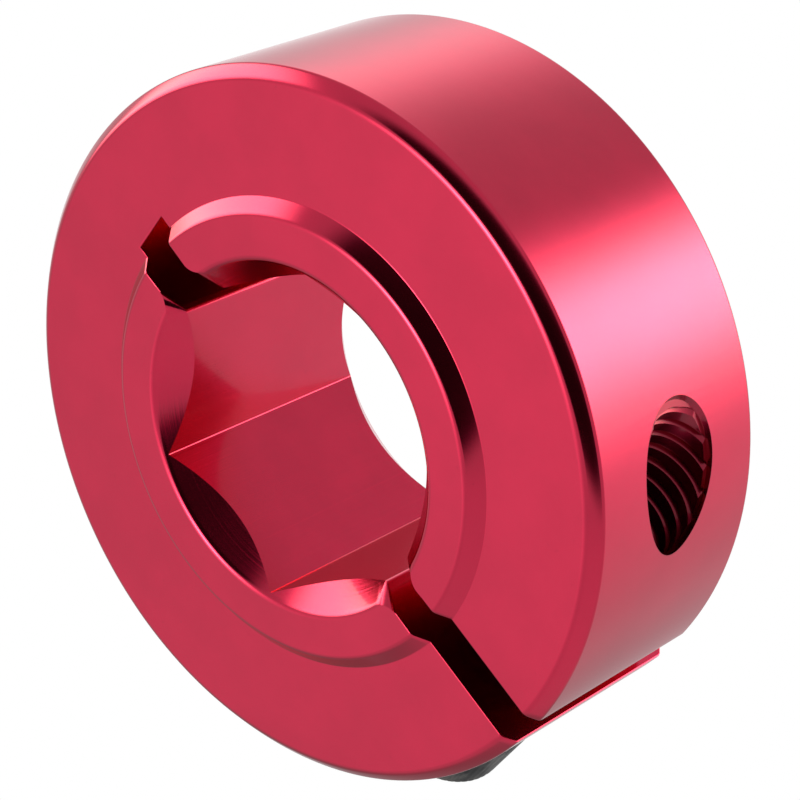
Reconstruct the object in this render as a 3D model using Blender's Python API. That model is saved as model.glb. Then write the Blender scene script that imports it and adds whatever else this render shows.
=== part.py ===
"""One-piece clamping shaft collar for a hexagonal shaft, with its clamp screw.

The collar stands in its own frame: the bore runs along Y through the origin,
which is at mid width. The wider countersink faces -Y, the slit points down (-Z),
and the clamp screw lies along X with its head towards -X.
Lengths are in metres.
"""
import math

import bmesh
import bpy
from mathutils import Matrix

MM = 0.001

# Collar: driving dimensions
HEX_ACROSS_FLATS = 12.7 * MM
OUTER_DIAMETER = 30.16 * MM
BODY_WIDTH = 10.6 * MM           # between the two ring faces, without the bosses
RIM_CHAMFER = 0.5 * MM           # 45 degrees, both rims
BOSS_DIAMETER = 19.8 * MM        # at the boss's foot; its side slopes at 45 degrees
BOSS_HEIGHT = 0.6 * MM           # one boss on each face

# Bore ends: a countersink at each end trims the hexagon's corners
FRONT_SINK_RADIUS = 7.5 * MM     # where it meets the front boss face
BACK_SINK_RADIUS = 7.45 * MM
SINK_SLOPE = 1.12                # depth of a countersink per unit of radius

# Cuts that let the ring close on the shaft
SLIT_WIDTH = 1.7 * MM
RELIEF_WIDTH = 2.05 * MM
RELIEF_OFFSET = 0.42 * MM        # the relief slot sits a little to one side of the slit's plane
RELIEF_REACH = 10.4 * MM         # from the bore's axis to the slot's square end

# Clamp screw: No. 8-32 socket head cap screw, 3/8 in long
SCREW_MAJOR_DIAMETER = 4.17 * MM
SCREW_LENGTH = 9.53 * MM
SCREW_TIP_CHAMFER = 0.45 * MM
HEAD_DIAMETER = 6.86 * MM
HEAD_HEIGHT = 4.17 * MM
HEAD_CHAMFER = 0.3 * MM
SOCKET_ACROSS_FLATS = 3.57 * MM
SOCKET_DEPTH = 2.0 * MM
SCREW_DISTANCE = 11.0 * MM       # from the bore's axis to the screw's axis
HEAD_SEAT_X = -4.75 * MM         # underside of the seated head

# Clearances between the two pieces
SEAT_GAP = 0.3 * MM
HOLE_GAP = 0.3 * MM
POCKET_GAP = 0.35 * MM

# Worked out from the sizes above
OUTER_RADIUS = OUTER_DIAMETER / 2
HALF_WIDTH = BODY_WIDTH / 2
BOSS_FACE_Y = HALF_WIDTH + BOSS_HEIGHT
BOSS_FOOT_RADIUS = BOSS_DIAMETER / 2
BOSS_FACE_RADIUS = BOSS_FOOT_RADIUS - BOSS_HEIGHT
SCREW_RADIUS = SCREW_MAJOR_DIAMETER / 2
HEAD_RADIUS = HEAD_DIAMETER / 2

CUT_OVERRUN = 2 * MM             # how far a cutter runs past the faces it opens
RING_STEPS = 120
SINK_STEPS = 90                  # its corners miss the corners of the hexagon
HOLE_STEPS = 40

RED_ANODISED = ((0.52, 0.02, 0.055, 1.0), 0.28, 0.85)
BLACK_OXIDE = ((0.02, 0.02, 0.022, 1.0), 0.42, 0.9)


def clear_scene():
    for obj in list(bpy.data.objects):
        bpy.data.objects.remove(obj, do_unlink=True)


def make_material(name, finish):
    colour, roughness, metallic = finish
    material = bpy.data.materials.new(name)
    material.use_nodes = True
    shader = material.node_tree.nodes["Principled BSDF"]
    shader.inputs["Base Color"].default_value = colour
    shader.inputs["Roughness"].default_value = roughness
    shader.inputs["Metallic"].default_value = metallic
    material.diffuse_color = colour
    return material


def add_object(name, bm, material=None):
    """Link the bmesh as a named object with its faces pointing outwards."""
    bmesh.ops.recalc_face_normals(bm, faces=bm.faces)
    mesh = bpy.data.meshes.new(name)
    bm.to_mesh(mesh)
    bm.free()
    obj = bpy.data.objects.new(name, mesh)
    bpy.context.scene.collection.objects.link(obj)
    if material:
        mesh.materials.append(material)
        mesh.shade_smooth()
        mesh.set_sharp_from_angle(angle=math.radians(30))
    return obj


def turned(profile, steps):
    """Revolve (radius, height) points, which start and end on the axis, about Z."""
    bm = bmesh.new()
    points = [bm.verts.new((radius, 0, height)) for radius, height in profile]
    edges = [bm.edges.new(pair) for pair in zip(points, points[1:])]
    bmesh.ops.spin(
        bm, geom=points + edges, axis=(0, 0, 1), cent=(0, 0, 0),
        angle=math.tau, steps=steps, use_merge=True, use_duplicate=False,
    )
    bmesh.ops.remove_doubles(bm, verts=bm.verts, dist=1e-6)
    return bm


def along_y(bm):
    """Lay a bmesh that was made about Z along Y, with its low end towards -Y."""
    bmesh.ops.rotate(bm, verts=bm.verts, matrix=Matrix.Rotation(-math.pi / 2, 3, "X"))
    return bm


def along_x(bm):
    """Lay a bmesh that was made about Z along X, with its low end towards -X."""
    bmesh.ops.rotate(bm, verts=bm.verts, matrix=Matrix.Rotation(math.pi / 2, 3, "Y"))
    return bm


def cylinder(radius, low, high, steps):
    return turned([(0, low), (radius, low), (radius, high), (0, high)], steps)


def hexagonal_prism(across_flats, low, high):
    """A six-sided prism about Z with two of its flats facing X."""
    bm = bmesh.new()
    bmesh.ops.create_cone(
        bm, cap_ends=True, segments=6, depth=high - low,
        radius1=across_flats / math.sqrt(3), radius2=across_flats / math.sqrt(3),
    )
    corner = max(bm.verts, key=lambda v: v.co.x)
    turn = math.pi / 2 - math.atan2(corner.co.y, corner.co.x)
    bmesh.ops.rotate(bm, verts=bm.verts, matrix=Matrix.Rotation(turn, 3, "Z"))
    bmesh.ops.translate(bm, verts=bm.verts, vec=(0, 0, (low + high) / 2))
    return bm


def block(x_range, y_range, z_range):
    bm = bmesh.new()
    bmesh.ops.create_cube(bm, size=1)
    size = [high - low for low, high in (x_range, y_range, z_range)]
    centre = [(low + high) / 2 for low, high in (x_range, y_range, z_range)]
    bmesh.ops.scale(bm, verts=bm.verts, vec=size)
    bmesh.ops.translate(bm, verts=bm.verts, vec=centre)
    return bm


def cut(body, name, cutter_bm, location=(0, 0, 0), solver="EXACT"):
    """Take the cutter's shape out of the body with a Boolean."""
    cutter = add_object(name, cutter_bm)
    cutter.location = location
    cutter.hide_render = True
    cutter.display_type = "WIRE"
    modifier = body.modifiers.new(name, "BOOLEAN")
    modifier.operation = "DIFFERENCE"
    modifier.solver = solver
    modifier.object = cutter
    return cutter


def collar_blank():
    """The turned ring before its bore is cut: chamfered rims and a sloped boss on each face."""
    half = [
        (OUTER_RADIUS, HALF_WIDTH - RIM_CHAMFER),
        (OUTER_RADIUS - RIM_CHAMFER, HALF_WIDTH),
        (BOSS_FOOT_RADIUS, HALF_WIDTH),
        (BOSS_FACE_RADIUS, BOSS_FACE_Y),
        (0, BOSS_FACE_Y),
    ]
    other_half = [(radius, -height) for radius, height in reversed(half)]
    return along_y(turned(other_half + half, RING_STEPS))


def countersink(radius):
    """The cone that opens the bore at the +Y face, where it has this radius."""
    apex = BOSS_FACE_Y - radius * SINK_SLOPE
    mouth = BOSS_FACE_Y + CUT_OVERRUN
    return along_y(turned([(0, apex), ((mouth - apex) / SINK_SLOPE, mouth), (0, mouth)], SINK_STEPS))


def front_countersink():
    bm = countersink(FRONT_SINK_RADIUS)
    bmesh.ops.rotate(bm, verts=bm.verts, matrix=Matrix.Rotation(math.pi, 3, "X"))
    return bm


def make_collar_body():
    body = add_object("collar_body", collar_blank(), make_material("red_anodised", RED_ANODISED))
    reach = BOSS_FACE_Y + CUT_OVERRUN
    far_out = OUTER_RADIUS + CUT_OVERRUN
    inside_bore = HEX_ACROSS_FLATS / 4
    screw_axis = (0, 0, -SCREW_DISTANCE)
    seat_face = HEAD_SEAT_X + SEAT_GAP

    cut(body, "cut_hexagon", along_y(hexagonal_prism(HEX_ACROSS_FLATS, -reach, reach)))
    cut(body, "cut_slit", block(
        (-SLIT_WIDTH / 2, SLIT_WIDTH / 2), (-reach, reach), (-far_out, -inside_bore)))
    cut(body, "cut_relief_slot", block(
        (RELIEF_OFFSET - RELIEF_WIDTH / 2, RELIEF_OFFSET + RELIEF_WIDTH / 2),
        (-reach, reach), (inside_bore, RELIEF_REACH)))
    cut(body, "cut_screw_hole", along_x(
        cylinder(SCREW_RADIUS + HOLE_GAP, -far_out, far_out, HOLE_STEPS)), screw_axis)
    cut(body, "cut_head_pocket", along_x(
        cylinder(HEAD_RADIUS + POCKET_GAP, -far_out, seat_face, HOLE_STEPS)), screw_axis)
    # The exact solver leaves gaps where a cone crosses the cut hexagon
    cut(body, "cut_front_countersink", front_countersink(), solver="MANIFOLD")
    cut(body, "cut_back_countersink", countersink(BACK_SINK_RADIUS), solver="MANIFOLD")
    return body


def make_clamp_screw():
    """Socket head cap screw, its origin on its axis at the head's underside."""
    profile = [
        (0, -HEAD_HEIGHT),
        (HEAD_RADIUS - HEAD_CHAMFER, -HEAD_HEIGHT),
        (HEAD_RADIUS, HEAD_CHAMFER - HEAD_HEIGHT),
        (HEAD_RADIUS, 0),
        (SCREW_RADIUS, 0),
        (SCREW_RADIUS, SCREW_LENGTH - SCREW_TIP_CHAMFER),
        (SCREW_RADIUS - SCREW_TIP_CHAMFER, SCREW_LENGTH),
        (0, SCREW_LENGTH),
    ]
    screw = add_object(
        "clamp_screw", along_x(turned(profile, HOLE_STEPS)), make_material("black_oxide", BLACK_OXIDE))
    screw.location = (HEAD_SEAT_X, 0, -SCREW_DISTANCE)
    socket = along_x(hexagonal_prism(
        SOCKET_ACROSS_FLATS, -HEAD_HEIGHT - CUT_OVERRUN, SOCKET_DEPTH - HEAD_HEIGHT))
    cut(screw, "cut_socket", socket, screw.location)
    return screw


def main():
    clear_scene()
    make_collar_body()
    make_clamp_screw()


main()
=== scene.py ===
import math

import bmesh
import bpy
from bpy.props import FloatProperty, FloatVectorProperty, IntProperty, PointerProperty
from mathutils import Matrix, Vector


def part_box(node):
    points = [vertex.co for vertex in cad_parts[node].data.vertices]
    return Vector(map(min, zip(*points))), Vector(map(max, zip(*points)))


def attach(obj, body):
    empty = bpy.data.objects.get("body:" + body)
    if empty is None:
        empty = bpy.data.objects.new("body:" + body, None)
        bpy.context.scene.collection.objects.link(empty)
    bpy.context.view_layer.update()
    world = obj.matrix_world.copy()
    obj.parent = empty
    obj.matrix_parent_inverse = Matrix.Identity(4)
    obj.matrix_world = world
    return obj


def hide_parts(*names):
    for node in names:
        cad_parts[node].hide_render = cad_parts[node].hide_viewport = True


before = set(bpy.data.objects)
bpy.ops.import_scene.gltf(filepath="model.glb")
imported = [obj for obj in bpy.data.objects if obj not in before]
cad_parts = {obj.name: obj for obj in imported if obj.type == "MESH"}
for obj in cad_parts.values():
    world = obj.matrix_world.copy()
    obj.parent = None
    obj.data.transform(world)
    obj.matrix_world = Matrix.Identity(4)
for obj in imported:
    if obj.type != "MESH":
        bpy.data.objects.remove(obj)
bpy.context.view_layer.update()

COLLAR_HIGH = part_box("collar_body")[1]

bl_info = {
    "name": "Hexagonal Bore Shaft Collar",
    "version": (1, 0, 0),
    "blender": (4, 5, 0),
    "location": "3D View > Sidebar > Shaft Collar",
    "description": "Builds a one-piece clamping shaft collar with its clamp screw",
    "category": "Object",
}

MM = 0.001
MERGE = 1e-7                     # points closer than this are one point
OVERRUN = 2 * MM                 # how far a cutter runs past the faces it opens
NUDGE = 0.002 * MM               # how far a cutter's rim stands off the face it opens


def frame_length(name, default, text):
    """A size in metres, as the frame gives it."""
    return FloatProperty(
        name=name, description=text, default=default, unit="LENGTH", subtype="DISTANCE", precision=5)


def length(name, default, text):
    """A size in millimetres, kept in metres."""
    return frame_length(name, default * MM, text)


def count(name, default, least, text):
    return IntProperty(name=name, description=text, default=default, min=least)


def colour(name, default, text):
    return FloatVectorProperty(
        name=name, description=text, default=default, size=3, min=0, max=1, subtype="COLOR")


class CollarSizes(bpy.types.PropertyGroup):
    """Sizes of the ring."""
    outer_radius: frame_length("Outer radius", COLLAR_HIGH.x, "Radius of the turned rim")
    boss_face: frame_length("Boss face", COLLAR_HIGH.y, "Distance of each boss face from the middle plane")
    boss_height: length("Boss height", 0.6, "Height of each boss above the ring face")
    boss_foot_radius: length("Boss foot radius", 9.9, "Radius where a boss's side meets the ring face")
    rim_chamfer: length("Rim chamfer", 0.5, "Width of the 45 degree chamfer on each rim")
    hex_across_flats: length("Bore across flats", 12.7, "Distance between opposite flats of the bore")
    front_sink_radius: length("Front countersink radius", 7.5, "Radius at the front boss face")
    back_sink_radius: length("Back countersink radius", 7.45, "Radius at the back boss face")
    sink_slope: FloatProperty(
        name="Countersink slope", description="Depth of a countersink per unit of radius", default=1.12)
    slit_width: length("Slit width", 1.7, "Width of the slit that lets the ring close")
    relief_width: length("Relief slot width", 2.05, "Width of the slot opposite the slit")
    relief_offset: length("Relief slot offset", 0.42, "Sideways distance from the slit's plane")
    relief_reach: length("Relief slot reach", 10.4, "Distance from the bore's axis to the slot's square end")
    sink_rounding: length("Countersink rounding", 0.17, "Width of the rounding on the rim of a countersink")
    mouth_rounding: length("Mouth rounding", 1.0, "Radius between a slot and a countersink at the boss face")
    bore_rounding: length("Bore rounding", 0.22, "Radius between a slot's wall and a flat of the bore")
    edge_break: length("Edge break", 0.07, "Width of the small rounding along the slit and the relief slot")
    corner_rounding: length("Corner rounding", 0.05, "Width of the rounding in the corners of the bore")
    rim_rounding: length("Rim rounding", 0.09, "Width of the rounding between a rim and its chamfer")
    face_rounding: length("Face rounding", 0.16, "Width of the rounding between a chamfer and the ring face")
    foot_rounding: length("Foot rounding", 0.03, "Width of the rounding at a boss's foot")
    boss_rounding: length("Boss rounding", 0.13, "Width of the rounding round a boss face")
    ring_steps: count("Ring steps", 228, 24, "Steps round the turned ring")
    sink_steps: count("Countersink steps", 180, 24, "Steps round a countersink")


class ScrewSizes(bpy.types.PropertyGroup):
    """Sizes of the clamp screw and of the holes that it needs."""
    distance: length("Axis distance", 11.0, "Distance from the bore's axis to the screw's axis")
    seat_x: length("Seat", -4.75, "Place of the seated head's underside along the screw")
    pitch: length("Pitch", 0.79375, "Advance of the thread for each turn")
    crest_radius: length("Crest radius", 2.05, "Radius of the screw thread's crests")
    root_radius: length("Root radius", 1.66, "Radius of the screw thread's roots")
    tapped_crest_radius: length("Tapped crest radius", 1.93, "Radius of the tapped thread's crests")
    tapped_root_radius: length("Tapped root radius", 2.13, "Radius of the tapped thread's roots")
    thread_start_depth: length("Thread start", 0.25, "Depth below the rim where the tapped thread starts")
    shank_length: length("Length", 9.53, "Length of the screw below its head")
    tip_chamfer: length("Tip chamfer", 0.45, "Chamfer at the screw's tip")
    head_radius: length("Head radius", 3.43, "Radius of the head over its knurl")
    head_height: length("Head height", 4.17, "Height of the head")
    head_chamfer: length("Head chamfer", 0.3, "Chamfer round the top of the head")
    knurl_depth: length("Knurl depth", 0.012, "Depth of the grooves round the head")
    knurls: count("Knurls", 60, 12, "Grooves round the head")
    socket_across_flats: length("Socket across flats", 3.57, "Distance between opposite flats of the socket")
    socket_depth: length("Socket depth", 2.0, "Depth of the socket")
    clear_hole_radius: length("Clearance hole radius", 2.3, "Radius of the plain hole in the head's ear")
    pocket_radius: length("Pocket radius", 3.78, "Radius of the pocket that holds the head")
    seat_gap: length("Seat gap", 0.05, "Gap between the seated head and the floor of its pocket")
    socket_lead_in: length("Socket lead-in", 0.08, "Width of the chamfer at the socket's mouth")
    thread_steps: count("Thread steps", 48, 12, "Steps for each turn of a thread")


class FinishColours(bpy.types.PropertyGroup):
    """Colours of the two finishes."""
    anodised_red: colour("Anodised red", (0.61, 0.0145, 0.061), "Colour of the dyed anodised aluminium")
    black_oxide: colour("Black oxide", (0.02, 0.02, 0.022), "Colour of the screw's oxide coating")
    worn_steel: colour("Worn steel", (0.2, 0.19, 0.185), "Colour of the steel where the coating is thin")


# ---------------------------------------------------------------------------
# Shaping

def turned(profile, steps):
    """Revolve (radius, height) points about Z; the first and last lie on the axis."""
    bm = bmesh.new()
    points = [bm.verts.new((radius, 0, height)) for radius, height in profile]
    edges = [bm.edges.new(pair) for pair in zip(points, points[1:])]
    bmesh.ops.spin(
        bm, geom=points + edges, axis=(0, 0, 1), cent=(0, 0, 0),
        angle=math.tau, steps=steps, use_merge=True, use_duplicate=False,
    )
    bmesh.ops.remove_doubles(bm, verts=bm.verts, dist=MERGE)
    bmesh.ops.recalc_face_normals(bm, faces=bm.faces)
    return bm


def along_y(bm):
    """Lay a bmesh that was made about Z along Y, with its low end towards -Y."""
    bmesh.ops.rotate(bm, verts=bm.verts, matrix=Matrix.Rotation(-math.pi / 2, 3, "X"))
    return bm


def along_x(bm, distance):
    """Lay a bmesh that was made about Z along the screw's axis, its low end towards -X."""
    bmesh.ops.rotate(bm, verts=bm.verts, matrix=Matrix.Rotation(math.pi / 2, 3, "Y"))
    bmesh.ops.translate(bm, verts=bm.verts, vec=(0, 0, -distance))
    return bm


def cylinder(radius, low, high, steps):
    return turned([(0, low), (radius, low), (radius, high), (0, high)], steps)


def block(x_range, y_range, z_range):
    bm = bmesh.new()
    bmesh.ops.create_cube(bm, size=1)
    ranges = (x_range, y_range, z_range)
    bmesh.ops.scale(bm, verts=bm.verts, vec=[high - low for low, high in ranges])
    bmesh.ops.translate(bm, verts=bm.verts, vec=[(low + high) / 2 for low, high in ranges])
    return bm


def hexagonal_prism(across_flats, low, high, corner_rounding=0.0):
    """A six-sided prism about Z with two of its flats facing X."""
    bm = bmesh.new()
    bmesh.ops.create_cone(
        bm, cap_ends=True, segments=6, depth=high - low,
        radius1=across_flats / math.sqrt(3), radius2=across_flats / math.sqrt(3),
    )
    corner = max(bm.verts, key=lambda v: v.co.x)
    turn = math.pi / 2 - math.atan2(corner.co.y, corner.co.x)
    bmesh.ops.rotate(bm, verts=bm.verts, matrix=Matrix.Rotation(turn, 3, "Z"))
    bmesh.ops.translate(bm, verts=bm.verts, vec=(0, 0, (low + high) / 2))
    if corner_rounding:
        upright = [e for e in bm.edges if abs(e.verts[0].co.z - e.verts[1].co.z) > (high - low) / 2]
        round_edges(bm, upright, corner_rounding, 3)
    return bm


def round_edges(bm, edges, width, segments, clamp=True):
    bmesh.ops.bevel(
        bm, geom=edges, offset=width, offset_type="OFFSET", affect="EDGES",
        segments=segments, profile=0.5, material=-1, clamp_overlap=clamp, loop_slide=True,
    )


def ring_edges(bm, radius, height, tolerance=1e-6):
    """The edges of the circle at this radius and height about Z."""
    def on_it(v):
        return abs(v.co.xy.length - radius) < tolerance and abs(v.co.z - height) < tolerance
    return [e for e in bm.edges if on_it(e.verts[0]) and on_it(e.verts[1])]


def thread(root, crest, pitch, start, low, high, steps):
    """A right-hand threaded rod about Z, cut off square at low and high.

    The crest passes through (crest, 0) at height start, so rods that share a
    start mesh with each other.
    """
    flank = (crest - root) * math.tan(math.radians(30))
    flat = pitch / 16
    turns_below = math.ceil((start - low) / pitch) + 1
    turns = turns_below + math.ceil((high - start) / pitch) + 1
    foot = start - turns_below * pitch
    bm = bmesh.new()
    points = [
        bm.verts.new((radius, 0, foot + height)) for radius, height in (
            (root, -pitch / 2), (root, -flat - flank), (crest, -flat),
            (crest, flat), (root, flat + flank), (root, pitch / 2))
    ]
    edges = [bm.edges.new(pair) for pair in zip(points, points[1:])]
    bmesh.ops.spin(
        bm, geom=points + edges, axis=(0, 0, 1), cent=(0, 0, 0), dvec=(0, 0, pitch / steps),
        angle=math.tau * turns, steps=steps * turns, use_merge=False, use_duplicate=False,
    )
    bmesh.ops.remove_doubles(bm, verts=bm.verts, dist=2e-6)
    for height, side in ((low, -1), (high, 1)):
        bmesh.ops.bisect_plane(
            bm, geom=bm.verts[:] + bm.edges[:] + bm.faces[:], dist=MERGE,
            plane_co=(0, 0, height), plane_no=(0, 0, side), clear_outer=True,
        )
    bmesh.ops.holes_fill(bm, edges=[e for e in bm.edges if e.is_boundary], sides=0)
    bmesh.ops.recalc_face_normals(bm, faces=bm.faces)
    return bm


def mesh_object(name, bm):
    mesh = bpy.data.meshes.new(name)
    bm.to_mesh(mesh)
    bm.free()
    obj = bpy.data.objects.new(name, mesh)
    bpy.context.scene.collection.objects.link(obj)
    return obj


def scaled(bm, factor):
    bmesh.ops.scale(bm, verts=bm.verts, vec=(factor,) * 3)
    return bm


def combined(bm, steps, solver="EXACT"):
    """Apply (operation, bmesh) steps with Booleans and give the result back.

    The Booleans run in millimetres, because in metres they leave small holes.
    """
    base = mesh_object("blank", scaled(bm, 1 / MM))
    tools = []
    for number, (operation, tool_bm) in enumerate(steps):
        tool = mesh_object(f"tool_{number}", scaled(tool_bm, 1 / MM))
        tools.append(tool)
        modifier = base.modifiers.new(tool.name, "BOOLEAN")
        modifier.operation = operation
        modifier.solver = solver
        modifier.object = tool
    depsgraph = bpy.context.evaluated_depsgraph_get()
    made = bpy.data.meshes.new_from_object(base.evaluated_get(depsgraph))
    result = bmesh.new()
    result.from_mesh(made)
    bpy.data.meshes.remove(made)
    for obj in [base, *tools]:
        mesh = obj.data
        bpy.data.objects.remove(obj, do_unlink=True)
        bpy.data.meshes.remove(mesh)
    bmesh.ops.remove_doubles(result, verts=result.verts, dist=MERGE / MM)
    bmesh.ops.dissolve_degenerate(result, edges=result.edges, dist=MERGE / MM)
    bmesh.ops.dissolve_limit(
        result, angle_limit=math.radians(0.2), use_dissolve_boundaries=False,
        verts=result.verts, edges=result.edges)
    return scaled(result, MM)


def finished(name, bm, material, body, node, crease):
    """Turn the bmesh into the piece that stands for a node of the CAD model."""
    open_edges = [e for e in bm.edges if not e.is_manifold]
    if open_edges:
        raise RuntimeError(f"{name} has {len(open_edges)} open edges")
    bmesh.ops.recalc_face_normals(bm, faces=bm.faces)
    obj = mesh_object(name, bm)
    obj.data.materials.append(material)
    obj.data.shade_smooth()
    obj.data.set_sharp_from_angle(angle=math.radians(crease))
    weighted = obj.modifiers.new("face_weighted_normals", "WEIGHTED_NORMAL")
    weighted.mode = "FACE_AREA"
    weighted.weight = 100
    weighted.keep_sharp = True
    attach(obj, body)
    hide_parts(node)
    return obj


# ---------------------------------------------------------------------------
# Shader maths

class Wire:
    """A socket that takes part in arithmetic; each operation adds its Math node."""

    def __init__(self, tree, socket):
        self.tree, self.socket = tree, socket

    def maths(self, operation, *values):
        return add_node(self.tree, "ShaderNodeMath", {"operation": operation}, dict(enumerate(values)))

    def __add__(self, other):
        return self.maths("ADD", self, other)

    def __sub__(self, other):
        return self.maths("SUBTRACT", self, other)

    def __rsub__(self, other):
        return self.maths("SUBTRACT", other, self)

    def __mul__(self, other):
        return self.maths("MULTIPLY", self, other)

    def __truediv__(self, other):
        return self.maths("DIVIDE", self, other)

    def __pow__(self, other):
        return self.maths("POWER", self, other)

    __radd__ = __add__
    __rmul__ = __mul__

    def absolute(self):
        return self.maths("ABSOLUTE", self)

    def exponential(self):
        return self.maths("EXPONENT", self)


def add_node(tree, kind, settings=None, inputs=None, output=0):
    """Add a node: its settings first, then the values or wires of its sockets."""
    node = tree.nodes.new(kind)
    for name, value in (settings or {}).items():
        setattr(node, name, value)
    for key, value in (inputs or {}).items():
        if isinstance(value, Wire):
            tree.links.new(value.socket, node.inputs[key])
        else:
            node.inputs[key].default_value = value
    return Wire(tree, node.outputs[output]) if len(node.outputs) else node


def smooth_range(value, low, high, to_low=0.0, to_high=1.0):
    return add_node(value.tree, "ShaderNodeMapRange", {"interpolation_type": "SMOOTHSTEP"}, {
        "Value": value, "From Min": low, "From Max": high, "To Min": to_low, "To Max": to_high})


def mixed(factor, first, second):
    """Blend two colours; each is a wire or three numbers."""
    first, second = (c if isinstance(c, Wire) else (*c, 1.0) for c in (first, second))
    return add_node(factor.tree, "ShaderNodeMix", {"data_type": "RGBA"},
                    {0: factor, 6: first, 7: second}, output=2)


def shade(tone, factor):
    """The colour made darker or lighter by a factor."""
    return [min(c * factor, 1) for c in tone]


def noise(place, scale, detail=2.0, roughness=0.5):
    return add_node(place.tree, "ShaderNodeTexNoise", {"noise_dimensions": "3D"}, {
        "Vector": place, "Scale": scale, "Detail": detail, "Roughness": roughness})


def lines(along, spacing, detail=2.0):
    """Fine parallel marks: noise that changes along one distance only."""
    return add_node(along.tree, "ShaderNodeTexNoise", {"noise_dimensions": "1D"}, {
        "W": along, "Scale": 1 / spacing, "Detail": detail, "Roughness": 0.6})


def split(vector):
    node = vector.tree.nodes.new("ShaderNodeSeparateXYZ")
    vector.tree.links.new(vector.socket, node.inputs[0])
    return [Wire(vector.tree, out) for out in node.outputs]


def dot(vector, direction):
    return add_node(vector.tree, "ShaderNodeVectorMath", {"operation": "DOT_PRODUCT"},
                    {0: vector, 1: direction}, output=1)


def new_material(name):
    """A material with an empty Principled shader, and its tree and shader."""
    material = bpy.data.materials.new(name)
    material.use_nodes = True
    return material, material.node_tree, material.node_tree.nodes["Principled BSDF"]


def feed(tree, shader, constants, wires):
    for name, value in constants.items():
        shader.inputs[name].default_value = value
    for name, wire in wires.items():
        tree.links.new(wire.socket, shader.inputs[name])


def anodised_aluminium(colours, screw):
    """Bright red dyed anodising over turned, sawn and broached aluminium, with painted shade inside the
    tapped hole.
    """
    material, tree, shader = new_material("red_anodised_aluminium")
    place = add_node(tree, "ShaderNodeTexCoord", output=3)
    normal = add_node(tree, "ShaderNodeTexCoord", output=1)
    x, y, z = split(place)
    facing_y = split(normal)[1].absolute()
    radius = (x * x + z * z) ** 0.5
    above_screw = z + screw.distance
    hole_radius = (y * y + above_screw * above_screw) ** 0.5

    # Which surface a point is on, by how it faces and by its radius
    on_face = smooth_range(facing_y, 0.8, 0.95)
    in_bore = smooth_range(radius, 7.36 * MM, 7.3 * MM)
    on_sink = smooth_range(facing_y, 0.4, 0.55) * (1 - on_face) * smooth_range(radius, 7.8 * MM, 7.6 * MM)
    on_rim = smooth_range(radius, 14.9 * MM, 15.0 * MM) * (1 - on_face)
    thread_end = screw.tapped_root_radius
    # in_thread marks the tapped hole: it paints shade into the base colour there and makes the surface
    # rougher
    in_thread = smooth_range(hole_radius, thread_end + 0.06 * MM, thread_end) * smooth_range(x, 0, 2 * MM)

    # Tool marks: rings on the turned faces, streaks along the rim and down the bore
    face_rings = lines(radius, 0.16 * MM, 3)
    rim_streaks = lines(y, 0.1 * MM, 3)
    bore_streaks = lines(x * 0.72 + z, 0.09 * MM, 3)
    sink_rings = lines(y, 0.09 * MM, 3)
    height = (on_face * face_rings * 0.35 + on_rim * rim_streaks * 0.45
              + in_bore * (1 - on_sink) * bore_streaks * 4.0 + on_sink * sink_rings * 4.0
              + noise(place, 9000, 3) * 0.35)
    bump = add_node(tree, "ShaderNodeBump", None, {"Strength": 1.0, "Distance": 1.2e-6, "Height": height})

    red = colours.anodised_red
    cloud = noise(place, 260, 4, 0.6)
    wobble = noise(place, 300, 2)
    specks = smooth_range(noise(place, 5200, 2, 0.5), 0.70, 0.78)
    dyed = mixed(smooth_range(cloud, 0.3, 0.7), shade(red, 0.95), shade(red, 1.04))
    dyed = mixed(specks * 0.25, dyed, shade(red, 0.6))
    # Painted shade: the base colour is made much darker inside the tapped hole, where little light gets in
    dyed = mixed(in_thread * 0.7, dyed, shade(red, 0.25))
    rough = (0.15 + (cloud - 0.5) * 0.05 + (wobble - 0.5) * 0.02 + (face_rings - 0.5) * on_face * 0.06
             + in_bore * 0.06 + in_thread * 0.15)
    feed(tree, shader,
         {"Metallic": 1.0, "Coat Weight": 0.36, "Coat Roughness": 0.08, "Coat IOR": 1.6, "IOR": 1.5,
          "Specular Tint": (1.0, 0.88, 0.9, 1.0)},
         {"Base Color": dyed, "Roughness": rough, "Normal": bump})
    return material


def black_oxide_steel(colours, screw):
    """Near-black oiled oxide with thin bright wear on the knurl and the thread's crests."""
    material, tree, shader = new_material("black_oxide_steel")
    place = add_node(tree, "ShaderNodeTexCoord", output=3)
    x, y, z = split(place)
    above_screw = z + screw.distance
    radius = (y * y + above_screw * above_screw) ** 0.5
    on_head = smooth_range(x, screw.seat_x, screw.seat_x - 0.1 * MM)
    on_shank = smooth_range(x, screw.seat_x, screw.seat_x + 0.1 * MM)
    on_knurl = smooth_range(radius, screw.head_radius - 0.03 * MM, screw.head_radius) * on_head
    on_crest = smooth_range(radius, screw.crest_radius - 0.05 * MM, screw.crest_radius) * on_shank

    cloud = noise(place, 700, 4, 0.6)
    black = colours.black_oxide
    worn = (on_knurl * 0.6 + on_crest * 0.5) * smooth_range(cloud, 0.4, 0.65)
    coated = mixed(smooth_range(cloud, 0.3, 0.7), black, shade(black, 1.7))
    rough = 0.42 + (cloud - 0.5) * 0.16 - worn * 0.1
    height = lines(radius, 0.1 * MM, 3) * 0.5 + noise(place, 6000, 3) * 0.6
    bump = add_node(tree, "ShaderNodeBump", None, {"Strength": 1.0, "Distance": 2.5e-6, "Height": height})
    feed(tree, shader, {"Metallic": 0.85, "Specular IOR Level": 0.5},
         {"Base Color": mixed(worn, coated, colours.worn_steel), "Roughness": rough, "Normal": bump})
    return material


# ---------------------------------------------------------------------------
# Pieces

def slot_walls(sizes):
    """Where the walls of the slit, and those of the relief slot, lie along X."""
    slit, relief = sizes.slit_width / 2, sizes.relief_width / 2
    return (-slit, slit), (sizes.relief_offset - relief, sizes.relief_offset + relief)


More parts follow.
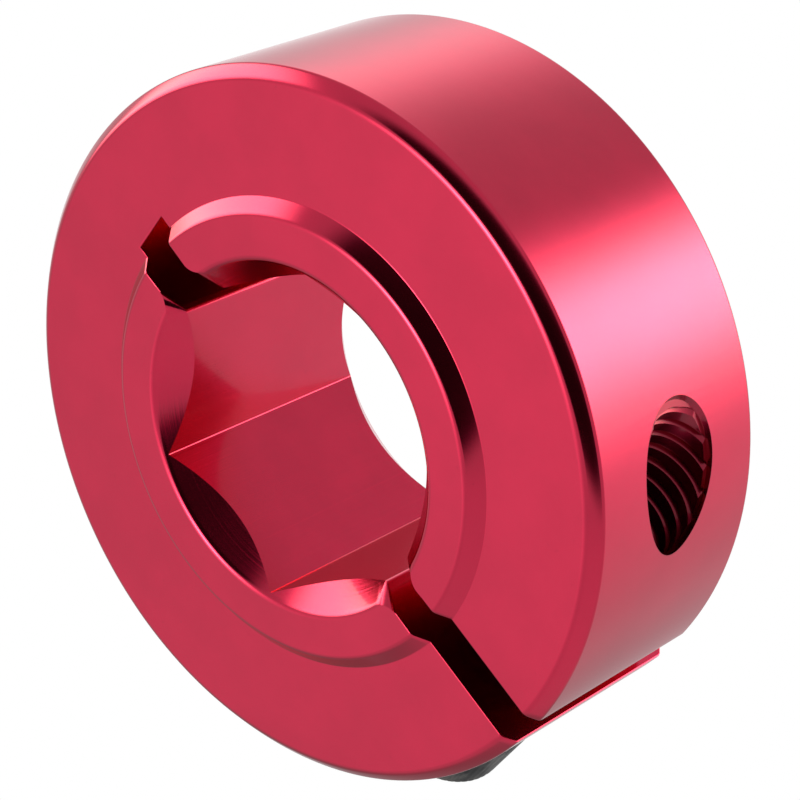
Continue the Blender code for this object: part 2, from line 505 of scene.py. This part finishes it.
def collar_blank(sizes):
    """The turned ring before its bore is cut, with its edges lightly rounded."""
    half_width = sizes.boss_face - sizes.boss_height
    rim, chamfer = sizes.outer_radius, sizes.rim_chamfer
    foot, top = sizes.boss_foot_radius, sizes.boss_foot_radius - sizes.boss_height
    half = [
        (rim, half_width - chamfer), (rim - chamfer, half_width),
        (foot, half_width), (top, sizes.boss_face), (0, sizes.boss_face),
    ]
    other_half = [(radius, -height) for radius, height in reversed(half)]
    bm = turned(other_half + half, sizes.ring_steps)
    roundings = (
        (half[0], sizes.rim_rounding, 3), (half[1], sizes.face_rounding, 4),
        (half[2], sizes.foot_rounding, 2), (half[3], sizes.boss_rounding, 4),
    )
    for (radius, height), width, segments in roundings:
        for side in (-1, 1):
            round_edges(bm, ring_edges(bm, radius, side * height), width, segments)
    return along_y(bm)


def countersink(sizes, radius, side):
    """The cone that opens the bore at one boss face, with its rim rounded over.

    Side is -1 at the front and 1 at the back.
    """
    steepness = math.atan(sizes.sink_slope)
    rim_radius = radius + sizes.sink_rounding
    rounding = sizes.sink_rounding / math.tan(steepness / 2)
    face = sizes.boss_face + NUDGE
    segments = 4
    angles = [steepness * (1 - step / segments) for step in range(segments + 1)]
    rim = [(rim_radius - rounding * math.sin(a), face - rounding * (1 - math.cos(a))) for a in angles]
    apex = rim[0][1] - rim[0][0] * sizes.sink_slope
    profile = [(0, apex), *rim, (rim[-1][0], face + OVERRUN), (0, face + OVERRUN)]
    return along_y(turned([(r, side * y) for r, y in profile], sizes.sink_steps))


def slotted_bore(sizes, reach, far_out):
    """The hexagon with the slit and the relief slot, rounded where they meet it."""
    slit, relief = slot_walls(sizes)
    inside_bore = sizes.hex_across_flats / 4
    hexagon = hexagonal_prism(sizes.hex_across_flats, -reach, reach, sizes.corner_rounding)
    bm = combined(along_y(hexagon), [
        ("UNION", block(slit, (-reach, reach), (-far_out, -inside_bore))),
        ("UNION", block(relief, (-reach, reach), (inside_bore, sizes.relief_reach))),
    ])
    inner = [
        e for e in bm.edges
        if abs(e.verts[0].co.y - e.verts[1].co.y) > reach and not e.is_convex
        and e.calc_face_angle(0) > math.radians(30)
    ]
    round_edges(bm, inner, sizes.bore_rounding / math.tan(math.radians(60)), 4)
    return bm


def fillet_outline(centre_x, centre_z, radius, end_angle):
    """Points round a fillet, from a slot's wall to the bore, and two points in the open behind it."""
    segments = 8
    margin = 0.3 * MM
    turns = [math.radians(180 + (end_angle - 180) * step / segments) for step in range(segments + 1)]
    arc = [(centre_x + radius * math.cos(a), centre_z + radius * math.sin(a)) for a in turns]
    behind = arc[0][0] - margin
    return [(behind, arc[0][1]), *arc, (behind, arc[-1][1] - margin)]


def mouth_fillet(sizes, sink_radius, wall):
    """Rounds the corner of a countersink and a wall at this distance from the bore's middle plane.

    The rounding narrows from the boss face down to the flat of the bore. It is made for
    the right wall of an upper slot at the back, and mirrored to the other corners.
    """
    wide, narrow = sizes.mouth_rounding, sizes.bore_rounding
    flat, lean = sizes.hex_across_flats / 2, math.radians(30)
    at_rim = math.sqrt((sink_radius + wide) ** 2 - (wall + wide) ** 2)
    at_flat = (flat + narrow - (wall + narrow) * math.sin(lean)) / math.cos(lean)
    corner_z = flat / math.cos(lean) - wall * math.tan(lean)
    depth = (sink_radius - math.hypot(wall, corner_z)) * sizes.sink_slope
    end_angle = 180 + math.degrees(math.atan2(at_rim, wall + wide))
    rim_outline = fillet_outline(wall + wide, at_rim, wide, end_angle)
    flat_outline = fillet_outline(wall + narrow, at_flat, narrow, 270 - math.degrees(lean))
    bm = bmesh.new()
    loops = []
    for outline, y in ((rim_outline, sizes.boss_face + MM), (rim_outline, sizes.boss_face),
                       (flat_outline, sizes.boss_face - depth)):
        points = [bm.verts.new((x, y, z)) for x, z in outline]
        loops.append([bm.edges.new((a, b)) for a, b in zip(points, points[1:] + points[:1])])
    for loop, next_loop in zip(loops, loops[1:]):
        bmesh.ops.bridge_loops(bm, edges=loop + next_loop)
    bmesh.ops.holes_fill(bm, edges=loops[0] + loops[-1], sides=0)
    return bm


def mouth_fillets(sizes):
    """Cutters for all eight corners between the slots and the countersinks."""
    slit, relief = slot_walls(sizes)
    corners = [(wall, -1) for wall in slit] + [(wall, 1) for wall in relief]
    cutters = []
    for end, sink_radius in ((-1, sizes.front_sink_radius), (1, sizes.back_sink_radius)):
        for wall, upwards in corners:
            bm = mouth_fillet(sizes, sink_radius, abs(wall))
            bmesh.ops.scale(bm, verts=bm.verts, vec=(math.copysign(1, wall), end, upwards))
            bmesh.ops.recalc_face_normals(bm, faces=bm.faces)
            cutters.append(bm)
    return cutters


def thread_start(sizes, screw, reach, far_out):
    """Clears the tapped thread away just below the rim."""
    radius = screw.tapped_root_radius + 0.02 * MM
    clear = along_x(cylinder(radius, screw.distance / 2, far_out, 64), screw.distance)
    inner_radius = sizes.outer_radius - screw.thread_start_depth
    inner_ring = along_y(cylinder(inner_radius, -reach, reach, sizes.ring_steps))
    return combined(clear, [("DIFFERENCE", inner_ring)])


def collar_cutters(sizes, screw):
    """Everything that is cut out of the turned ring."""
    reach = sizes.boss_face + OVERRUN
    far_out = sizes.outer_radius + OVERRUN
    head_pocket = cylinder(screw.pocket_radius, -far_out, screw.seat_x + screw.seat_gap, 96)
    clear_hole = cylinder(screw.clear_hole_radius, -far_out, 0, 64)
    tapped_hole = thread(
        screw.tapped_crest_radius, screw.tapped_root_radius, screw.pitch, screw.seat_x,
        0, far_out, screw.thread_steps)
    return [
        slotted_bore(sizes, reach, far_out),
        countersink(sizes, sizes.front_sink_radius, -1),
        countersink(sizes, sizes.back_sink_radius, 1),
        *mouth_fillets(sizes),
        along_x(clear_hole, screw.distance),
        along_x(head_pocket, screw.distance),
        along_x(tapped_hole, screw.distance),
        thread_start(sizes, screw, reach, far_out),
    ]


def broken_edges(bm, sizes, screw):
    """The long edges of the slit and of the relief slot, outside the bore."""
    slit_walls, relief_walls = slot_walls(sizes)
    mouth = sizes.front_sink_radius + sizes.mouth_rounding
    holes = screw.clear_hole_radius + 0.3 * MM
    near = 0.002 * MM
    chosen = []
    for edge in bm.edges:
        if not edge.is_manifold or edge.calc_face_angle(0) < math.radians(20) or not edge.is_convex:
            continue
        a, b = (v.co for v in edge.verts)
        middle = (a + b) / 2
        if middle.z < 0 and math.hypot(middle.y, middle.z + screw.distance) < holes:
            continue
        walls = slit_walls if middle.z < 0 else relief_walls
        on_wall = min(abs(a.x - wall) + abs(b.x - wall) for wall in walls) < near
        at_slot_end = abs(a.z - sizes.relief_reach) + abs(b.z - sizes.relief_reach) < near
        if (on_wall or at_slot_end) and math.hypot(middle.x, middle.z) > mouth:
            chosen.append(edge)
    return chosen


class SHAFT_COLLAR_OT_ring(bpy.types.Operator):
    """Build the ring with its hexagonal bore, slit, relief slot and screw holes"""
    bl_idname = "shaft_collar.ring"
    bl_label = "Build Ring"

    def execute(self, context):
        sizes, screw = context.scene.collar_sizes, context.scene.screw_sizes
        cuts = [("DIFFERENCE", cutter) for cutter in collar_cutters(sizes, screw)]
        bm = combined(collar_blank(sizes), cuts, "MANIFOLD")
        round_edges(bm, broken_edges(bm, sizes, screw), sizes.edge_break, 2, clamp=False)
        finished("collar_ring", bm, anodised_aluminium(context.scene.finish_colours, screw),
                 "collar", "collar_body", 35)
        return {"FINISHED"}


def knurled_head(screw):
    """The head about Z from its underside down, with straight grooves round it."""
    radius, chamfer, height = screw.head_radius, screw.head_chamfer, screw.head_height
    under = 0.12 * MM
    profile = [
        (0, -height), (radius - chamfer, -height), (radius, chamfer - height),
        (radius, -under), (radius - under, 0), (0, 0),
    ]
    steps_each = 4
    bm = turned(profile, screw.knurls * steps_each)
    for v in bm.verts:
        around = math.atan2(v.co.y, v.co.x) / math.tau * screw.knurls * steps_each
        if v.co.xy.length > radius - 0.01 * MM and round(around) % steps_each == 0:
            v.co.xy *= (radius - screw.knurl_depth) / radius
    return bm


def screw_shape(screw):
    """The cap screw about Z, its head's underside at height 0 and its tip upwards."""
    tip, top = screw.shank_length, -screw.head_height
    open_end = top - OVERRUN
    shank = thread(
        screw.root_radius, screw.crest_radius, screw.pitch, 0, -0.5 * MM, tip + MM, screw.thread_steps)
    neck = cylinder(screw.crest_radius - 0.05 * MM, -0.7 * MM, 0.35 * MM, screw.thread_steps)
    wide = screw.head_radius + OVERRUN
    envelope = turned([
        (0, open_end), (wide, open_end),
        (wide, tip - screw.tip_chamfer - (wide - screw.crest_radius)),
        (screw.crest_radius - screw.tip_chamfer, tip), (0, tip),
    ], 64)
    socket = hexagonal_prism(screw.socket_across_flats, open_end, top + screw.socket_depth)
    corner = screw.socket_across_flats / math.sqrt(3)
    lead_in = turned(
        [(0, open_end), (corner + OVERRUN, open_end), (0, top + corner + screw.socket_lead_in)], 64)
    floor = top + screw.socket_depth
    drill_radius = 0.86 * screw.socket_across_flats / 2
    drill_point = turned(
        [(0, floor - 0.1 * MM), (drill_radius, floor - 0.1 * MM), (0, floor + 0.4 * MM)], 48)
    return combined(knurled_head(screw), [
        ("UNION", neck), ("UNION", shank), ("INTERSECT", envelope),
        ("DIFFERENCE", socket), ("DIFFERENCE", lead_in), ("DIFFERENCE", drill_point),
    ], "MANIFOLD")


class SHAFT_COLLAR_OT_screw(bpy.types.Operator):
    """Build the socket head cap screw with its thread and knurled head"""
    bl_idname = "shaft_collar.screw"
    bl_label = "Build Clamp Screw"

    def execute(self, context):
        screw = context.scene.screw_sizes
        bm = along_x(screw_shape(screw), screw.distance)
        bmesh.ops.translate(bm, verts=bm.verts, vec=(screw.seat_x, 0, 0))
        finished("cap_screw", bm, black_oxide_steel(context.scene.finish_colours, screw),
                 "screw", "clamp_screw", 30)
        return {"FINISHED"}


# ---------------------------------------------------------------------------
# Studio

def direction(azimuth, elevation):
    """A unit vector; azimuth turns from +Y towards +X."""
    a, e = math.radians(azimuth), math.radians(elevation)
    return Vector((math.sin(a) * math.cos(e), math.cos(a) * math.cos(e), math.sin(e)))


# A disc has its azimuth, elevation, strength, radius where it is full and radius where it ends
SOFT_PANEL = (-131, 70, 4.0, 11, 31)
DIM_SIDE = (-75, -15, 0.5, 12, 45)        # its strength is the share of the light that it takes away
GLOWS = (
    # azimuth, elevation, strength, tightness
    (2, 46, 0.9, 24),
    (-155, 10, 0.6, 12),
    (-150, -62, 0.15, 6),
    (10, -42, 0.35, 12),
    (-44, 13, 0.45, 18),
    (180, 13, 9.0, 45),
)
LOW_PANEL = (36, -16, 7.0, 24)            # azimuth, elevation, strength, tightness
LOW_PANEL_TOP = (12, -13)                 # elevations where its soft upper edge starts and is full
FLAG = (141, -3, 17, 46)                  # a black card: azimuth, elevation, half width, half height
FLAG_DARKNESS = 0.985                     # share of the light that the card takes away
ROOM = 0.65                               # strength of the light from everywhere
WARM_LIGHT = (1, 1.12, 0.89)              # colour of the brightest light
WARM_FROM, WARM_FULL = 1.2, 3.0           # strengths between which light takes that colour
FLOOR_LEVEL = -27 * MM
CAMERA_PLACE = Vector((76.811, -78.496, -26.048)) * MM
CAMERA_AIM = Vector((0.304, 0.474, -0.557)) * MM
CAMERA_ROLL = math.radians(-37.40)
SENSOR_WIDTH = 36                         # millimetres, as is the lens
LENS = 122.58


def sine(degrees):
    return math.sin(math.radians(degrees))


def cosine(degrees):
    return math.cos(math.radians(degrees))


def disc(toward, azimuth, elevation, strength, full, end):
    """A round panel, even out to the angle full and gone at the angle end."""
    near = dot(toward, direction(azimuth, elevation))
    return smooth_range(near, cosine(end), cosine(full), 0, strength)


def glow(toward, azimuth, elevation, strength, tightness):
    """Light that is brightest in one direction and fades away all round it."""
    near = dot(toward, direction(azimuth, elevation))
    return ((near - 1) * tightness).exponential() * strength


def behind_flag(toward, height):
    """1 where the black card hides the light, and 0 away from it."""
    azimuth, elevation, half_width, half_height = FLAG
    across = dot(toward, direction(azimuth + 90, 0)) / sine(half_width)
    up = (height - sine(elevation)) / sine(half_height)
    outside = smooth_range(across * across + up * up, 0.9, 1.5)
    far_side = smooth_range(dot(toward, direction(azimuth, 0)), 0.1, 0.0)
    return (1 - outside) * (1 - far_side)


def studio_light(tree):
    """Strength of the studio's light by direction."""
    toward = add_node(tree, "ShaderNodeTexCoord", output=0)
    height = dot(toward, (0, 0, 1))
    light = disc(toward, *SOFT_PANEL)
    for settings in GLOWS:
        light = light + glow(toward, *settings)
    below_top = smooth_range(height, *map(sine, LOW_PANEL_TOP))
    light = light + glow(toward, *LOW_PANEL) * below_top + ROOM
    light = light * (1 - disc(toward, *DIM_SIDE))
    return light * (1 - behind_flag(toward, height) * FLAG_DARKNESS)


def make_world():
    """The studio's light, and plain white wherever the camera sees past the object."""
    world = bpy.data.worlds.new("studio")
    bpy.context.scene.world = world
    world.use_nodes = True
    tree = world.node_tree
    tree.nodes.clear()
    light = studio_light(tree)
    seen = add_node(tree, "ShaderNodeLightPath", output=0)
    tint = mixed(smooth_range(light, WARM_FROM, WARM_FULL), (1, 1, 1), WARM_LIGHT)
    lit = add_node(tree, "ShaderNodeBackground", None, {"Color": tint, "Strength": light})
    white = add_node(tree, "ShaderNodeBackground", None, {"Color": (1, 1, 1, 1), "Strength": 1.0})
    mix = add_node(tree, "ShaderNodeMixShader", None, {0: seen, 1: lit, 2: white})
    out = tree.nodes.new("ShaderNodeOutputWorld")
    tree.links.new(mix.socket, out.inputs["Surface"])


def make_floor():
    """A pale floor that lights the underside; it isn't reflected and doesn't block the light from below."""
    bm = bmesh.new()
    bmesh.ops.create_grid(bm, x_segments=1, y_segments=1, size=3)
    bmesh.ops.translate(bm, verts=bm.verts, vec=(0, 0, FLOOR_LEVEL))
    floor = mesh_object("studio_floor", bm)
    material, tree, shader = new_material("pale_floor")
    place = add_node(tree, "ShaderNodeTexCoord", output=3)
    grey = mixed(smooth_range(noise(place, 3, 2), 0.3, 0.7), (0.86, 0.86, 0.86), (0.9, 0.9, 0.9))
    feed(tree, shader, {"Roughness": 0.9}, {"Base Color": grey})
    floor.data.materials.append(material)
    floor.visible_glossy = False
    floor.visible_shadow = False


def make_camera():
    data = bpy.data.cameras.new("camera")
    data.lens = LENS
    data.sensor_width = SENSOR_WIDTH
    data.clip_start = 1 * MM
    camera = bpy.data.objects.new("camera", data)
    bpy.context.scene.collection.objects.link(camera)
    look = (CAMERA_AIM - CAMERA_PLACE).to_track_quat("-Z", "Y").to_matrix()
    turn = look @ Matrix.Rotation(CAMERA_ROLL, 3, "Z")
    camera.matrix_world = Matrix.Translation(CAMERA_PLACE) @ turn.to_4x4()
    bpy.context.scene.camera = camera


class SHAFT_COLLAR_OT_studio(bpy.types.Operator):
    """Build the pale floor, the soft studio light and the camera"""
    bl_idname = "shaft_collar.studio"
    bl_label = "Build Studio"

    def execute(self, context):
        context.scene.view_settings.view_transform = "Standard"
        make_world()
        make_floor()
        make_camera()
        return {"FINISHED"}


class SHAFT_COLLAR_PT_sidebar(bpy.types.Panel):
    """Sizes, colours and build steps of the shaft collar"""
    bl_idname = "SHAFT_COLLAR_PT_sidebar"
    bl_label = "Shaft Collar"
    bl_space_type = "VIEW_3D"
    bl_region_type = "UI"
    bl_category = "Shaft Collar"

    def draw(self, context):
        for group_name in GROUPS:
            group = getattr(context.scene, group_name)
            box = self.layout.box()
            for field in group.__annotations__:
                box.prop(group, field)
        for operator in OPERATORS:
            self.layout.operator(operator.bl_idname)


GROUPS = {"collar_sizes": CollarSizes, "screw_sizes": ScrewSizes, "finish_colours": FinishColours}
OPERATORS = (SHAFT_COLLAR_OT_ring, SHAFT_COLLAR_OT_screw, SHAFT_COLLAR_OT_studio)


def register():
    for cls in (*GROUPS.values(), *OPERATORS, SHAFT_COLLAR_PT_sidebar):
        bpy.utils.register_class(cls)
    for name, group in GROUPS.items():
        setattr(bpy.types.Scene, name, PointerProperty(type=group))


def unregister():
    for name in GROUPS:
        delattr(bpy.types.Scene, name)
    for cls in (SHAFT_COLLAR_PT_sidebar, *reversed(OPERATORS), *reversed(GROUPS.values())):
        bpy.utils.unregister_class(cls)


def main():
    register()
    bpy.ops.shaft_collar.ring()
    bpy.ops.shaft_collar.screw()
    bpy.ops.shaft_collar.studio()


if __name__ == "__main__":
    main()
